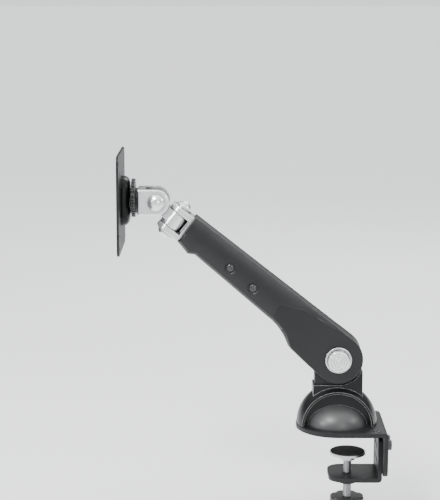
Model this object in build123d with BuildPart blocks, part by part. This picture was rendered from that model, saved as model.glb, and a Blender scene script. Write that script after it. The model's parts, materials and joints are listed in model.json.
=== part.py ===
from build123d import *
import os
from math import acos, atan2, cos, hypot, radians, sin

# Desk-clamped monitor arm with a gas spring lift, in millimetres.
# +Z is up and +X points off the desk, to the clamp. The origin is on the turret's
# vertical axis, at the desk's top surface. The arm reaches over the desk, towards -X.
# In the arm's own frame, "along" runs from the lift pivot to the head, "above" is square to it.

# ---- driving dimensions -------------------------------------------------------------
fit = 0.05                      # radial clearance of a shaft in its hole
small_screw_r = 2.5             # M5 screws, used all over
small_head_r = 4.4
head_gap = 0.2                  # radial gap round a screw head in its recess

# desk clamp
pad_t = 1.0                     # rubber sheet under the desk plate
plate_t = 5.0                   # steel of the desk plate, leg and jaw
plate_top = pad_t + plate_t
base_r = 50.0                   # round end of the desk plate
leg_inner_x = 54.0
leg_outer_x = leg_inner_x + plate_t
leg_bottom = -50.0
jaw_inner_x = leg_inner_x - plate_t
jaw_half_w = 30.0
jaw_top = -6.0
jaw_floor = -57.0               # upper face of the jaw's lower arm
jaw_reach_x = -10.0             # free end of the jaw's lower arm
jaw_bolt_y = 10.5
jaw_bolt_z = (-20.0, -38.0)     # the two heights at which the jaw can be bolted
jaw_bolt_r = 4.0
clamp_x = 14.0                  # axis of the clamp screw
clamp_r = 5.0
clamp_face_z = -30.0            # pressure face, set for a 30 mm desk
boss_r = 11.0
boss_h = 8.0
knob_r = 21.0
knob_z = (-104.0, -88.0)
corner_screw_at = [(46.0, -41.0), (46.0, 41.0)]

# dome and turret
dome_r = 38.5
dome_h = 27.7
dome_wall = 2.8
turret_r = 49.25                # sphere about the axis at the plate's top
turret_half_w = 23.0            # the sphere is cut off square at both sides
turret_recess_y = 16.0          # floor of the recess in each side
turret_recess_r = 41.0
turret_gap = 0.4                # running gap over the desk plate
saddle_half_w = 14.5
saddle_half_x = 30.0
saddle_r = 33.0                 # saddle face, concentric with the lift pivot
post_r = 9.0
post_shoulder_r = 12.0
post_shoulder_z = 34.3
stud_r = 6.0
floor_z = (35.35, 41.0)         # turret floor that is held between the swivel washers
nut_pocket_r = 13.2
yoke_z = 49.0                   # seat of the yoke in the turret
yoke_half_w = 11.5
yoke_x = (-27.8, 18.0)
yoke_top_r = 25.0
yoke_screw_at = [(-20.0, -6.0), (-20.0, 6.0)]
slot_half_w = 5.6               # slot in the yoke for the spring's rod end

# lift arm, in the arm's frame
pivot_z = 89.0
arm_angle = 38.2                # slope of the arm at rest
hub_r = 30.0
arm_top = 29.8
arm_end = 242.0
cover_in = 15.5
cover_out = 19.0
rim_t = 2.6
rim_in = 12.4
beam_in = 12.4
beam_out = 15.4
beam_top = 29.3
web_t = 3.0
shaft_r = 5.0
cap_ring_r = 16.0
cap_disc_r = 12.9
cap_ring_y = 22.3
cap_disc_y = 31.0
screw_spots = [(172.3, 7.8), (135.7, 5.4)]
screw_recess_r = 7.0
screw_recess_y = 17.2

# gas spring, from the yoke's anchor pin to the beam's cylinder pin
anchor_arm = 14.5               # distance of the anchor pin from the lift pivot
cylinder_pin_at = (212.0, 14.0)
spring_pin_r = 3.0
rod_eye_play = 3.35             # play that the open pivot of the linkage needs, 3.07 at full travel
rod_eye_wall = 2.5
rod_eye_half_w = 4.9
rod_start = 12.0                # where the rod enters its eye, from the anchor pin
rod_r = 4.0
cylinder_r = 9.0
cylinder_span = (124.0, 204.0)  # distances from the anchor pin

# head
swivel_at = (259.5, 10.4)       # swivel axis, square to the arm
ear_r = 14.0
ear_inner = 9.9
clevis_bolt_at = [(224.0, 3.0), (229.0, 18.0)]
ear_outer = 17.4
barrel_r = 13.8
barrel_half = 9.3
head_pin_r = 5.0
rivet_head_r = 10.5
rivet_head_h = 8.5
tilt_at = (-219.0, 280.6)       # x and z of the tilt pin
tilt_eye_r = 12.0
tilt_ear_r = 15.5
tilt_head_r = 10.0
tilt_head_h = 5.4
tilt_ear_y = (13.0, 20.0)
tilt_root_x = -241.3
collar_r = 15.4
index_x = (-248.8, -244.4)
index_r = 19.7
index_upper_r = 26.5
hub_x = (-260.8, -250.4)
hub_w = 41.0
hub_h = 58.0
hub_screw_pitch = (24.0, 44.0)
vesa_t = 2.7
vesa_size = 118.0
vesa_hole_r = 2.3

# ---- frames -------------------------------------------------------------------------
slope = radians(arm_angle)
along = Vector(-cos(slope), 0, sin(slope))
above = Vector(sin(slope), 0, cos(slope))
pivot = Vector(0, 0, pivot_z)
arm_plane = Plane(origin=pivot, x_dir=along, z_dir=(0, 1, 0))
swivel_point = pivot + along * swivel_at[0] + above * swivel_at[1]
swivel_plane = Plane(origin=swivel_point, x_dir=along, z_dir=above)
tilt_point = Vector(tilt_at[0], 0, tilt_at[1])
tilt_plane = Plane(origin=tilt_point, x_dir=(1, 0, 0), z_dir=(0, -1, 0))
head_yz = Plane(origin=(0, 0, tilt_at[1]), x_dir=(0, 1, 0), z_dir=(1, 0, 0))

# The line from the lift pivot to the anchor pin is square to the gas spring, so the play
# that the rod's eye needs is about the same at both ends of the lift.
pin_reach = hypot(*cylinder_pin_at)
anchor_turn = atan2(cylinder_pin_at[1], cylinder_pin_at[0]) - acos(anchor_arm / pin_reach)
anchor_at = (anchor_arm * cos(anchor_turn), anchor_arm * sin(anchor_turn))
anchor_point = pivot + along * anchor_at[0] + above * anchor_at[1]
cylinder_point = pivot + along * cylinder_pin_at[0] + above * cylinder_pin_at[1]
spring_dir = (cylinder_point - anchor_point).normalized()
spring_length = (cylinder_point - anchor_point).length
spring_side = Plane(origin=anchor_point, x_dir=spring_dir, z_dir=(0, 1, 0))
spring_end = Plane(origin=anchor_point, x_dir=(0, 1, 0), z_dir=spring_dir)


def cap_middle(rim_r, rim_y, top_y):
    """A point halfway along the arc of a round cap whose centre is on its axis."""
    rise = top_y - rim_y
    cap_r = (rim_r**2 + rise**2) / (2 * rise)
    half_r = rim_r / 2
    return (half_r, top_y - cap_r + (cap_r**2 - half_r**2) ** 0.5)


# Side outline of the arm: round hub, straight top, and an underside that steps in to a lip.
with BuildSketch() as arm_outline:
    with BuildLine():
        Line((0, arm_top), (arm_end, arm_top))
        Line((arm_end, arm_top), (arm_end, -6.5))
        Line((arm_end, -6.5), (223, -11))
        Line((223, -11), (215.6, -6.6))
        Line((215.6, -6.6), (100, -12))
        ThreePointArc((100, -12), (80, -14.7), (60, -23.8))
        Line((60, -23.8), (57, -25.2))
        Line((57, -25.2), (2.6, -29.9))
        ThreePointArc((2.6, -29.9), (-hub_r, 0), (0, arm_top))
    make_face()

os.makedirs("parts", exist_ok=True)

# ---- desk clamp ---------------------------------------------------------------------
# Bent steel bracket: D-shaped plate on the desk and a leg down its edge.
with BuildPart() as clamp_bracket:
    with BuildSketch(Plane.XY.offset(pad_t)):
        Circle(base_r)
        with Locations((leg_outer_x / 2, 0)):
            Rectangle(leg_outer_x, 2 * base_r)
    extrude(amount=plate_t)
    with BuildSketch(Plane.YZ.offset(leg_inner_x)):
        with Locations((0, (plate_top + leg_bottom) / 2)):
            Rectangle(2 * base_r, plate_top - leg_bottom)
    extrude(amount=plate_t)
    across = clamp_bracket.edges().filter_by(Axis.Y)
    fillet(across.sort_by(lambda e: e.center().X + e.center().Z)[-1], 5)
    foot = clamp_bracket.edges().filter_by(Axis.X).group_by(Axis.Z)[0]
    fillet(foot, 10)
    with BuildSketch(Plane.YZ.offset(leg_inner_x)):
        with Locations((-jaw_bolt_y, jaw_bolt_z[0]), (jaw_bolt_y, jaw_bolt_z[0])):
            Circle(jaw_bolt_r + 0.3)
    extrude(amount=plate_t, mode=Mode.SUBTRACT)
    with BuildSketch(Plane.XY):
        Circle(stud_r + fit)
        with Locations(*corner_screw_at):
            Circle(small_screw_r + fit)
    extrude(amount=plate_top, mode=Mode.SUBTRACT)
    with BuildSketch(Plane.XY.offset(plate_top - 1.5)):
        with Locations(*corner_screw_at):
            Circle(small_head_r + head_gap)
    extrude(amount=1.5, mode=Mode.SUBTRACT)
clamp_bracket.part.label = "clamp_bracket"
export_step(clamp_bracket.part, "parts/clamp_bracket.step")

# Two low-head screws near the plate's square corners.
with BuildPart() as corner_screws:
    with BuildSketch(Plane.XY.offset(pad_t + 0.2)):
        with Locations(*corner_screw_at):
            Circle(small_screw_r)
    extrude(amount=plate_t - 1.7)
    with BuildSketch(Plane.XY.offset(plate_top - 1.5)):
        with Locations(*corner_screw_at):
            Circle(4.5)
    extrude(amount=2.3)
    rims = corner_screws.edges().filter_by(GeomType.CIRCLE).group_by(Axis.Z)[-1]
    fillet(rims, 0.5)
    with BuildSketch(Plane.XY.offset(plate_top + 0.8)):
        with Locations(*corner_screw_at):
            RegularPolygon(1.7, 6)
    extrude(amount=-1.4, mode=Mode.SUBTRACT)
corner_screws.part.label = "corner_screws"
export_step(corner_screws.part, "parts/corner_screws.step")

# Rubber sheet under the plate, which keeps the desk from being marked.
with BuildPart() as desk_pad:
    with BuildSketch():
        Circle(base_r - 1.5)
        with Locations((jaw_inner_x / 2 - 1, 0)):
            Rectangle(jaw_inner_x - 2, 2 * base_r - 3)
    extrude(amount=pad_t)
desk_pad.part.label = "desk_pad"
export_step(desk_pad.part, "parts/desk_pad.step")

# L-shaped lower jaw, bolted inside the leg, with a threaded boss for the clamp screw.
with BuildPart() as jaw_bracket:
    jaw_low = jaw_floor - plate_t
    with BuildSketch(Plane.YZ.offset(jaw_inner_x)):
        with Locations((0, (jaw_top + jaw_low) / 2)):
            Rectangle(2 * jaw_half_w, jaw_top - jaw_low)
    extrude(amount=plate_t)
    with BuildSketch(Plane.XY.offset(jaw_low)):
        with Locations(((jaw_reach_x + leg_inner_x) / 2, 0)):
            Rectangle(leg_inner_x - jaw_reach_x, 2 * jaw_half_w)
    extrude(amount=plate_t)
    across = jaw_bracket.edges().filter_by(Axis.Y)
    fillet(across.sort_by(lambda e: e.center().X - e.center().Z)[-1], 5)
    tips = jaw_bracket.edges().filter_by(Axis.Z).group_by(Axis.X)[0]
    fillet(tips, 18)
    crown = jaw_bracket.edges().filter_by(Axis.X).group_by(Axis.Z)[-1]
    fillet(crown, 6)
    with BuildSketch(Plane.XY.offset(jaw_low - boss_h)):
        with Locations((clamp_x, 0)):
            Circle(boss_r)
    extrude(amount=boss_h)
    with BuildSketch(Plane.XY.offset(jaw_low - boss_h)):
        with Locations((clamp_x, 0)):
            Circle(clamp_r + fit)
    extrude(amount=boss_h + plate_t, mode=Mode.SUBTRACT)
    with BuildSketch(Plane.YZ.offset(jaw_inner_x)):
        for bolt_z in jaw_bolt_z:
            with Locations((-jaw_bolt_y, bolt_z), (jaw_bolt_y, bolt_z)):
                Circle(jaw_bolt_r + fit)
    extrude(amount=plate_t, mode=Mode.SUBTRACT)
jaw_bracket.part.label = "jaw_bracket"
export_step(jaw_bracket.part, "parts/jaw_bracket.step")

# Two knurled M8 socket screws from outside the leg into the jaw.
with BuildPart() as jaw_screws:
    with BuildSketch(Plane.YZ.offset(jaw_inner_x + 0.5)):
        with Locations((-jaw_bolt_y, jaw_bolt_z[0]), (jaw_bolt_y, jaw_bolt_z[0])):
            Circle(jaw_bolt_r)
    extrude(amount=leg_outer_x - jaw_inner_x - 0.5)
    with BuildSketch(Plane.YZ.offset(leg_outer_x)):
        with Locations((-jaw_bolt_y, jaw_bolt_z[0]), (jaw_bolt_y, jaw_bolt_z[0])):
            Circle(6.5)
    extrude(amount=8)
    rims = jaw_screws.edges().filter_by(GeomType.CIRCLE).group_by(Axis.X)[-1]
    chamfer(rims, 0.8)
    with BuildSketch(Plane.YZ.offset(leg_outer_x + 8)):
        with Locations((-jaw_bolt_y, jaw_bolt_z[0]), (jaw_bolt_y, jaw_bolt_z[0])):
            RegularPolygon(3.4, 6)
    extrude(amount=-4, mode=Mode.SUBTRACT)
jaw_screws.part.label = "jaw_screws"
export_step(jaw_screws.part, "parts/jaw_screws.step")

# Clamp screw, its knob, and the swivelling pressure plate with a rubber face.
with BuildPart() as clamp_screw:
    with BuildSketch(Plane.XY.offset(knob_z[0] + 2)):
        with Locations((clamp_x, 0)):
            Circle(clamp_r)
    extrude(amount=clamp_face_z - 3.2 - knob_z[0] - 2)
    chamfer(clamp_screw.edges().filter_by(GeomType.CIRCLE).group_by(Axis.Z)[-1], 0.8)
clamp_screw.part.label = "clamp_screw"
export_step(clamp_screw.part, "parts/clamp_screw.step")

with BuildPart() as clamp_knob:
    with BuildSketch(Plane.XY.offset(knob_z[0])):
        with Locations((clamp_x, 0)):
            Circle(knob_r)
            with PolarLocations(knob_r + 3.5, 8):
                Circle(6, mode=Mode.SUBTRACT)
    extrude(amount=knob_z[1] - knob_z[0])
    ends = clamp_knob.faces().filter_by(Axis.Z)
    chamfer(ends.edges(), 1.2)
    with BuildSketch(Plane.XY.offset(knob_z[1])):
        with Locations((clamp_x, 0)):
            Circle(clamp_r)
    extrude(amount=knob_z[0] + 2 - knob_z[1], mode=Mode.SUBTRACT)
clamp_knob.part.label = "clamp_knob"
export_step(clamp_knob.part, "parts/clamp_knob.step")

with BuildPart() as pressure_plate:
    with BuildSketch(Plane.XY.offset(clamp_face_z - 4)):
        with Locations((clamp_x, 0)):
            Circle(22)
    extrude(amount=3)
    with BuildSketch(Plane.XY.offset(clamp_face_z - 11)):
        with Locations((clamp_x, 0)):
            Circle(9)
    extrude(amount=7)
    with BuildSketch(Plane.XY.offset(clamp_face_z - 11)):
        with Locations((clamp_x, 0)):
            Circle(clamp_r + fit)
    extrude(amount=8, mode=Mode.SUBTRACT)
pressure_plate.part.label = "pressure_plate"
export_step(pressure_plate.part, "parts/pressure_plate.step")

with BuildPart() as pressure_pad:
    with BuildSketch(Plane.XY.offset(clamp_face_z - 1)):
        with Locations((clamp_x, 0)):
            Circle(20.5)
    extrude(amount=1)
pressure_pad.part.label = "pressure_pad"
export_step(pressure_pad.part, "parts/pressure_pad.step")

# ---- dome and swivel ----------------------------------------------------------------
# Pressed dome that stays still while the turret turns over it.
with BuildPart() as base_dome:
    with BuildSketch(Plane.XZ):
        with Locations((0, plate_top)):
            Ellipse(dome_r, dome_h)
            Ellipse(dome_r - dome_wall, dome_h - dome_wall, mode=Mode.SUBTRACT)
        with Locations((post_shoulder_r + 0.3, plate_top)):
            Rectangle(dome_r, dome_h + 1, align=Align.MIN, mode=Mode.INTERSECT)
    revolve(axis=Axis.Z)
base_dome.part.label = "base_dome"
export_step(base_dome.part, "parts/base_dome.step")

# Steel post riveted through the plate, threaded at its top.
with BuildPart() as swivel_post:
    with BuildSketch(Plane.XZ):
        with BuildLine():
            Polyline(
                (0, pad_t),
                (stud_r, pad_t),
                (stud_r, plate_top),
                (post_shoulder_r, plate_top),
                (post_shoulder_r, post_shoulder_z),
                (post_r, post_shoulder_z),
                (post_r, floor_z[1] + fit),
                (stud_r, floor_z[1] + fit),
                (stud_r, yoke_z - 0.4),
                (0, yoke_z - 0.4),
                close=True,
            )
        make_face()
    revolve(axis=Axis.Z)
swivel_post.part.label = "swivel_post"
export_step(swivel_post.part, "parts/swivel_post.step")

# Nylon thrust washer under the turret's floor.
with BuildPart() as thrust_washer:
    with BuildSketch(Plane.XY.offset(post_shoulder_z)):
        Circle(14)
        Circle(post_r + fit, mode=Mode.SUBTRACT)
    extrude(amount=floor_z[0] - fit - post_shoulder_z)
thrust_washer.part.label = "thrust_washer"
export_step(thrust_washer.part, "parts/thrust_washer.step")

# Friction washer, disc spring and lock nut that clamp the turret's floor down.
with BuildPart() as friction_washer:
    with BuildSketch(Plane.XY.offset(floor_z[1] + fit)):
        Circle(12.6)
        Circle(stud_r + fit, mode=Mode.SUBTRACT)
    extrude(amount=1)
friction_washer.part.label = "friction_washer"
export_step(friction_washer.part, "parts/friction_washer.step")

with BuildPart() as disc_spring:
    with BuildSketch(Plane.XZ):
        with BuildLine():
            Polyline(
                (stud_r + fit, floor_z[1] + 1.75),
                (12, floor_z[1] + 1.05),
                (12, floor_z[1] + 1.75),
                (stud_r + fit, floor_z[1] + 2.45),
                close=True,
            )
        make_face()
    revolve(axis=Axis.Z)
disc_spring.part.label = "disc_spring"
export_step(disc_spring.part, "parts/disc_spring.step")

with BuildPart() as swivel_nut:
    with BuildSketch(Plane.XY.offset(floor_z[1] + 2.5)):
        RegularPolygon(10.3, 6)
        Circle(stud_r + fit, mode=Mode.SUBTRACT)
    extrude(amount=yoke_z - 0.4 - floor_z[1] - 2.5)
swivel_nut.part.label = "swivel_nut"
export_step(swivel_nut.part, "parts/swivel_nut.step")

# ---- turret -------------------------------------------------------------------------
# Cast housing: a slice of a sphere that bridges the dome, with a saddle under the arm's hub.
with BuildPart() as turret_housing:
    with Locations((0, 0, plate_top)):
        Sphere(turret_r)
    with Locations((0, 0, plate_top + turret_gap)):
        Box(
            2 * turret_r,
            2 * turret_half_w,
            turret_r,
            align=(Align.CENTER, Align.CENTER, Align.MIN),
            mode=Mode.INTERSECT,
        )
    for side in (-1, 1):
        with BuildSketch(Plane.XZ.offset(side * turret_recess_y)):
            with Locations((0, plate_top)):
                Circle(turret_recess_r)
        extrude(amount=side * (turret_half_w - turret_recess_y), mode=Mode.SUBTRACT)
    horn_z = pivot_z - (saddle_r**2 - (saddle_half_x - 1) ** 2) ** 0.5
    with BuildSketch(Plane.XZ):
        with BuildLine():
            Polyline((0, pivot_z - saddle_r), (-saddle_half_x, pivot_z - saddle_r), (-saddle_half_x, 40))
            Polyline((-saddle_half_x, 40), (saddle_half_x, 40), (saddle_half_x, horn_z))
            Line((saddle_half_x, horn_z), (saddle_half_x - 1, horn_z))
            ThreePointArc(
                (saddle_half_x - 1, horn_z),
                (saddle_r * sin(radians(30)), pivot_z - saddle_r * cos(radians(30))),
                (0, pivot_z - saddle_r),
            )
        make_face()
    extrude(amount=saddle_half_w, both=True)
    with BuildSketch(Plane.XZ):
        with Locations((0, plate_top)):
            Ellipse(dome_r + 0.6, dome_h + 0.6)
        Rectangle(dome_r + 1, 60, align=Align.MIN, mode=Mode.INTERSECT)
    revolve(axis=Axis.Z, mode=Mode.SUBTRACT)
    with BuildSketch(Plane.XY.offset(plate_top)):
        Circle(15)
    extrude(amount=floor_z[0] - plate_top, mode=Mode.SUBTRACT)
    with BuildSketch(Plane.XY.offset(floor_z[0])):
        Circle(post_r + fit)
    extrude(amount=floor_z[1] - floor_z[0], mode=Mode.SUBTRACT)
    with BuildSketch(Plane.XY.offset(floor_z[1])):
        Circle(nut_pocket_r)
    extrude(amount=yoke_z - floor_z[1], mode=Mode.SUBTRACT)
    with BuildSketch(Plane.XY.offset(yoke_z)):
        with Locations(((yoke_x[0] + yoke_x[1]) / 2, 0)):
            Rectangle(yoke_x[1] - yoke_x[0] + 2 * fit, 2 * (yoke_half_w + fit))
    extrude(amount=30, mode=Mode.SUBTRACT)
    with BuildSketch(Plane.XY.offset(plate_top)):
        with Locations(*yoke_screw_at):
            Circle(small_head_r + head_gap)
    extrude(amount=30, mode=Mode.SUBTRACT)
    with BuildSketch(Plane.XY.offset(plate_top + 30)):
        with Locations(*yoke_screw_at):
            Circle(small_screw_r + fit)
    extrude(amount=yoke_z - plate_top - 30, mode=Mode.SUBTRACT)
turret_housing.part.label = "turret_housing"
export_step(turret_housing.part, "parts/turret_housing.step")

# Steel yoke that stands in the turret and carries the arm's pivot and the spring's anchor.
with BuildPart() as yoke:
    with BuildSketch(Plane.XZ):
        with Locations((yoke_x[0], yoke_z)):
            Rectangle(yoke_x[1] - yoke_x[0], pivot_z - 6 - yoke_z, align=Align.MIN)
        with Locations((0, pivot_z)):
            Circle(yoke_top_r)
            Circle(shaft_r + 2 + fit, mode=Mode.SUBTRACT)
        with Locations((anchor_point.X, anchor_point.Z)):
            Circle(spring_pin_r + fit, mode=Mode.SUBTRACT)
    extrude(amount=yoke_half_w, both=True)
    with BuildSketch(Plane.XZ):
        with Locations((0, pivot_z - 22)):
            Rectangle(80, 60, align=(Align.CENTER, Align.MIN))
    extrude(amount=slot_half_w, both=True, mode=Mode.SUBTRACT)
    with BuildSketch(Plane.XY.offset(yoke_z)):
        with Locations(*yoke_screw_at):
            Circle(small_screw_r + fit)
    extrude(amount=12, mode=Mode.SUBTRACT)
yoke.part.label = "yoke"
export_step(yoke.part, "parts/yoke.step")

# Screws from inside the dome's cavity up into the yoke.
with BuildPart() as yoke_screws:
    with BuildSketch(Plane.XY.offset(plate_top + 26)):
        with Locations(*yoke_screw_at):
            Circle(small_head_r)
    extrude(amount=4)
    with BuildSketch(Plane.XY.offset(plate_top + 30)):
        with Locations(*yoke_screw_at):
            Circle(small_screw_r)
    extrude(amount=yoke_z + 10 - plate_top - 30)
yoke_screws.part.label = "yoke_screws"
export_step(yoke_screws.part, "parts/yoke_screws.step")

# Flanged bronze bushings of the lift pivot.
with BuildPart() as lift_bushings:
    for side in (-1, 1):
        with BuildSketch(Plane.XZ.offset(side * slot_half_w)):
            with Locations((0, pivot_z)):
                Circle(shaft_r + 2)
        extrude(amount=side * (beam_in - 0.1 - slot_half_w))
        with BuildSketch(Plane.XZ.offset(side * yoke_half_w)):
            with Locations((0, pivot_z)):
                Circle(10)
        extrude(amount=side * (beam_in - 0.1 - yoke_half_w))
        with BuildSketch(Plane.XZ.offset(side * slot_half_w)):
            with Locations((0, pivot_z)):
                Circle(shaft_r + fit)
        extrude(amount=side * (beam_in - slot_half_w), mode=Mode.SUBTRACT)
lift_bushings.part.label = "lift_bushings"
export_step(lift_bushings.part, "parts/lift_bushings.step")

# Pin across the yoke's slot that the gas spring pushes against.
with BuildPart() as anchor_pin:
    with BuildSketch(Plane.XZ):
        with Locations((anchor_point.X, anchor_point.Z)):
            Circle(spring_pin_r)
    extrude(amount=yoke_half_w, both=True)
anchor_pin.part.label = "anchor_pin"
export_step(anchor_pin.part, "parts/anchor_pin.step")

# ---- lift arm -----------------------------------------------------------------------
# Pressed steel channel inside the covers: two cheeks joined by a web along the top.
with BuildPart() as arm_beam:
    with BuildSketch(arm_plane.offset(beam_in)):
        with BuildLine():
            Polyline((0, 26.5), (235, 26.5), (235, -3.2), (222, -7), (215, -3.5), (100, -8.8))
            ThreePointArc((100, -8.8), (79, -11.4), (58, -20.8))
            Line((58, -20.8), (2.3, -26.4))
            ThreePointArc((2.3, -26.4), (-26.5, 0), (0, 26.5))
        make_face()
        Circle(shaft_r + fit, mode=Mode.SUBTRACT)
        with Locations(cylinder_pin_at):
            Circle(spring_pin_r + fit, mode=Mode.SUBTRACT)
        with Locations(*clevis_bolt_at):
            Circle(small_screw_r + fit, mode=Mode.SUBTRACT)
        with Locations(screw_spots):
            Circle(small_screw_r + fit, mode=Mode.SUBTRACT)
    extrude(amount=beam_out - beam_in)
    mirror(about=Plane.XZ)
    with BuildSketch(arm_plane):
        with BuildLine():
            wrap = radians(150)
            mid = radians(120)
            low = beam_top - web_t
            Line((0, low), (arm_end, low))
            Line((arm_end, low), (arm_end, beam_top))
            Line((arm_end, beam_top), (0, beam_top))
            ThreePointArc(
                (0, beam_top),
                (beam_top * cos(mid), beam_top * sin(mid)),
                (beam_top * cos(wrap), beam_top * sin(wrap)),
            )
            Line((beam_top * cos(wrap), beam_top * sin(wrap)), (low * cos(wrap), low * sin(wrap)))
            ThreePointArc(
                (low * cos(wrap), low * sin(wrap)),
                (low * cos(mid), low * sin(mid)),
                (0, low),
            )
        make_face()
    extrude(amount=beam_out, both=True)
arm_beam.part.label = "arm_beam"
export_step(arm_beam.part, "parts/arm_beam.step")

# Moulded side covers, one each side of the beam, with a rim that closes the underside.
with BuildPart() as arm_cover_far:
    with BuildSketch(arm_plane.offset(cover_in)):
        add(arm_outline.sketch_local)
        Circle(shaft_r + 0.5, mode=Mode.SUBTRACT)
    extrude(amount=cover_out - cover_in)
    outer_face = arm_cover_far.faces().filter_by(Axis.Y).sort_by(Axis.Y)[-1]
    chamfer(outer_face.outer_wire().edges(), 1.2)
    with BuildSketch(arm_plane.offset(rim_in)):
        add(arm_outline.sketch_local)
        offset(amount=-rim_t, mode=Mode.SUBTRACT)
        with Locations((-40, 0)):
            Rectangle(276, 60, align=(Align.MIN, Align.MAX), mode=Mode.INTERSECT)
    extrude(amount=cover_in - rim_in)
    with BuildSketch(arm_plane.offset(screw_recess_y)):
        with Locations(screw_spots):
            Circle(screw_recess_r)
    extrude(amount=5, mode=Mode.SUBTRACT)
    with BuildSketch(arm_plane.offset(cover_in)):
        with Locations(screw_spots):
            Circle(2.6)
    extrude(amount=5, mode=Mode.SUBTRACT)
arm_cover_far.part.label = "arm_cover_far"
export_step(arm_cover_far.part, "parts/arm_cover_far.step")

with BuildPart() as arm_cover_near:
    mirror(arm_cover_far.part, about=Plane.XZ)
arm_cover_near.part.label = "arm_cover_near"
export_step(arm_cover_near.part, "parts/arm_cover_near.step")

# Clip-in strip that closes the channel from below.
with BuildPart() as arm_underside:
    with BuildSketch(arm_plane):
        add(arm_outline.sketch_local)
        offset(amount=-2.0, mode=Mode.SUBTRACT)
        with Locations((62, 5)):
            Rectangle(150, 60, align=(Align.MIN, Align.MAX), mode=Mode.INTERSECT)
    extrude(amount=rim_in - 0.05, both=True)
arm_underside.part.label = "arm_underside"
export_step(arm_underside.part, "parts/arm_underside.step")

# Recessed screws that hold the covers to the beam, two each side.
with BuildPart() as cover_screws:
    with BuildSketch(arm_plane.offset(beam_in + 0.1)):
        with Locations(screw_spots):
            Circle(small_screw_r)
    extrude(amount=screw_recess_y - beam_in - 0.1)
    with BuildSketch(arm_plane.offset(screw_recess_y)):
        with Locations(screw_spots):
            Circle(4.5)
    extrude(amount=1.6)
    rims = cover_screws.edges().filter_by(GeomType.CIRCLE).group_by(Axis.Y)[-1]
    fillet(rims, 0.5)
    with BuildSketch(arm_plane.offset(screw_recess_y + 1.6)):
        with Locations(screw_spots):
            RegularPolygon(2.2, 6)
    extrude(amount=-1.2, mode=Mode.SUBTRACT)
    mirror(about=Plane.XZ)
cover_screws.part.label = "cover_screws"
export_step(cover_screws.part, "parts/cover_screws.step")

# Lift pivot: shaft through beam, covers and yoke, a nut at each end, and a bright cap over each.
with BuildPart() as lift_shaft:
    with BuildSketch(Plane.XZ):
        with Locations((0, pivot_z)):
            Circle(shaft_r)
    extrude(amount=26, both=True)
lift_shaft.part.label = "lift_shaft"
export_step(lift_shaft.part, "parts/lift_shaft.step")

with BuildPart() as shaft_nuts:
    with BuildSketch(Plane.XZ.offset(cover_out)):
        with Locations((0, pivot_z)):
            RegularPolygon(9.2, 6)
            Circle(shaft_r + fit, mode=Mode.SUBTRACT)
    extrude(amount=6)
    mirror(about=Plane.XZ)
shaft_nuts.part.label = "shaft_nuts"
export_step(shaft_nuts.part, "parts/shaft_nuts.step")

with BuildPart() as hub_cap_near:
    with BuildSketch(Plane.XZ.offset(cover_out)):
        with Locations((0, pivot_z)):
            Circle(cap_ring_r)
    extrude(amount=cap_ring_y - cover_out)
    fillet(hub_cap_near.edges().group_by(Axis.Y)[0], 1.0)
    with BuildSketch(Plane.XZ.offset(cap_ring_y - 1)):
        with Locations((0, pivot_z)):
            Circle(cap_disc_r)
    extrude(amount=cap_disc_y - cap_ring_y + 1)
    fillet(hub_cap_near.edges().group_by(Axis.Y)[0], 2.0)
    with BuildSketch(Plane.XZ.offset(cover_out)):
        with Locations((0, pivot_z)):
            Circle(10.4)
    extrude(amount=cap_disc_y - cover_out - 3, mode=Mode.SUBTRACT)
hub_cap_near.part.label = "hub_cap_near"
export_step(hub_cap_near.part, "parts/hub_cap_near.step")

with BuildPart() as hub_cap_far:
    mirror(hub_cap_near.part, about=Plane.XZ)
hub_cap_far.part.label = "hub_cap_far"
export_step(hub_cap_far.part, "parts/hub_cap_far.step")

# ---- gas spring ---------------------------------------------------------------------
# Cylinder with its closed end pinned to the beam.
with BuildPart() as spring_cylinder:
    with BuildSketch(spring_end.offset(cylinder_span[0])):
        Circle(cylinder_r)
        Circle(cylinder_r - 1.5, mode=Mode.SUBTRACT)
    extrude(amount=cylinder_span[1] - cylinder_span[0])
    with BuildSketch(spring_end.offset(cylinder_span[1] - 3)):
        Circle(cylinder_r - 1.5)
    extrude(amount=3)
    with BuildSketch(spring_side):
        with Locations(((cylinder_span[1] - 1 + spring_length) / 2, 0)):
            Rectangle(spring_length - cylinder_span[1] + 1, 10)
        with Locations((spring_length, 0)):
            Circle(5)
            Circle(spring_pin_r + fit, mode=Mode.SUBTRACT)
    extrude(amount=4, both=True)
spring_cylinder.part.label = "spring_cylinder"
export_step(spring_cylinder.part, "parts/spring_cylinder.step")

with BuildPart() as spring_gland:
    with BuildSketch(spring_end.offset(cylinder_span[0])):
        Circle(cylinder_r - 1.5)
        Circle(rod_r + fit, mode=Mode.SUBTRACT)
    extrude(amount=6)
spring_gland.part.label = "spring_gland"
export_step(spring_gland.part, "parts/spring_gland.step")

with BuildPart() as spring_rod:
    with BuildSketch(spring_end.offset(rod_start)):
        Circle(rod_r)
    extrude(amount=cylinder_span[0] + 16 - rod_start)
    with BuildSketch(spring_end.offset(cylinder_span[0] + 16)):
        Circle(cylinder_r - 1.5 - fit)
    extrude(amount=8)
spring_rod.part.label = "spring_rod"
export_step(spring_rod.part, "parts/spring_rod.step")

with BuildPart() as rod_eye:
    with BuildSketch(spring_side):
        Circle(spring_pin_r + rod_eye_play + rod_eye_wall)
        with Locations((rod_start, 0)):
            Rectangle(20, 2 * rod_eye_half_w + 0.1)
        Circle(spring_pin_r + rod_eye_play, mode=Mode.SUBTRACT)
    extrude(amount=rod_eye_half_w, both=True)
    with BuildSketch(spring_end.offset(rod_start)):
        Circle(rod_r)
    extrude(amount=rod_start, mode=Mode.SUBTRACT)
rod_eye.part.label = "rod_eye"
export_step(rod_eye.part, "parts/rod_eye.step")

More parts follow.
